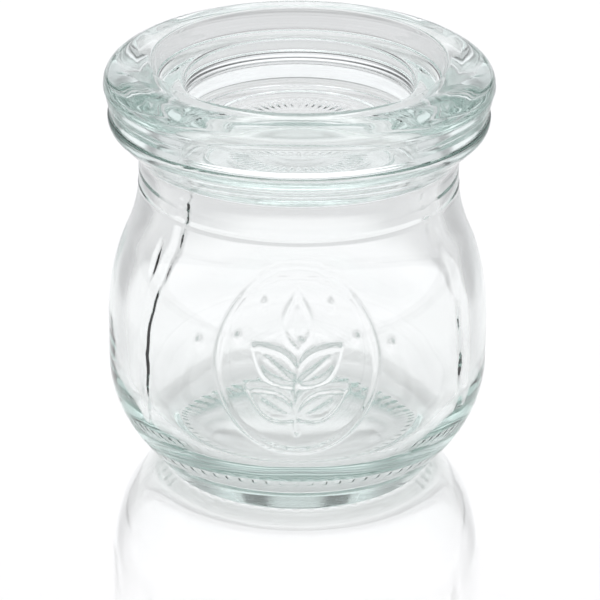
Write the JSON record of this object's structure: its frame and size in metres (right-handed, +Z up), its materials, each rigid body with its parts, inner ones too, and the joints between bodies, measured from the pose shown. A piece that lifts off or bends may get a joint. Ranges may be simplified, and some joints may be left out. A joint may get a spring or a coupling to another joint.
{
  "type": "tulip jar with glass lid",
  "caption": "Small round tulip-shaped jar of clear pressed glass with a narrow neck, a thick rounded rim and a loose ringed glass lid with a sunken centre.",
  "frame": {"origin": "centre of the plane the foot stands on", "axes": "+Z up along the jar's axis of revolution; -Y towards the embossed front"},
  "size_m": [0.0578, 0.0578, 0.0643],
  "materials": {
    "clear_glass": "smooth clear pressed glass with a faint grey-green tint",
    "lid_glass": "smooth clear pressed glass, a little greener where it is thick"
  },
  "bodies": {
    "root": {"jar": "clear_glass", "lid": "lid_glass"}
  },
  "joints": []
}
